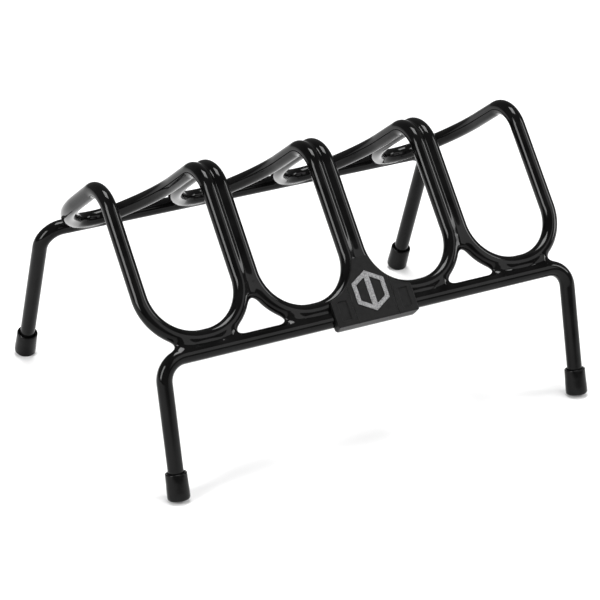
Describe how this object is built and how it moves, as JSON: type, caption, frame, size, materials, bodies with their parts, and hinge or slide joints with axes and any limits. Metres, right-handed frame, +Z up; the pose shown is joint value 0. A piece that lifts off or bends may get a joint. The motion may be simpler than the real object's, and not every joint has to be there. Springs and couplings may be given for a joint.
{
  "type": "slotted wire display rack",
  "caption": "Free-standing rack of vinyl-dipped wire: open loop cradles side by side on two crossbars with splayed capped legs and a small badge.",
  "frame": {"origin": "on the table under the middle of the rack's outer box", "axes": "+X along the crossbars to the viewer's right when facing the badge, +Y from front to rear, +Z up"},
  "size_m": [0.238, 0.1848, 0.1322],
  "materials": {
    "steel": "drawn low-carbon wire, hidden under the coat",
    "weld": "plain weld deposit, hidden under the coat",
    "vinyl": "glossy black dipped vinyl",
    "cap_rubber": "satin black rubber",
    "badge_plastic": "matte black moulded plastic with a fine grain",
    "inlay_silver": "brushed silver inlay"
  },
  "bodies": {
    "root": {"front_base_rod": "steel", "rear_base_rod": "steel", "cradle_rod_1": "steel", "cradle_rod_2": "steel", "cradle_rod_3": "steel", "cradle_rod_4": "steel", "front_weld_1": "weld", "front_weld_2": "weld", "front_weld_3": "weld", "front_weld_4": "weld", "rear_weld_1": "weld", "rear_weld_2": "weld", "rear_weld_3": "weld", "rear_weld_4": "weld", "vinyl_coat": "vinyl", "front_left_cap": "cap_rubber", "front_right_cap": "cap_rubber", "rear_left_cap": "cap_rubber", "rear_right_cap": "cap_rubber", "badge_plate": "badge_plastic", "badge_inlay": "inlay_silver"}
  },
  "joints": []
}
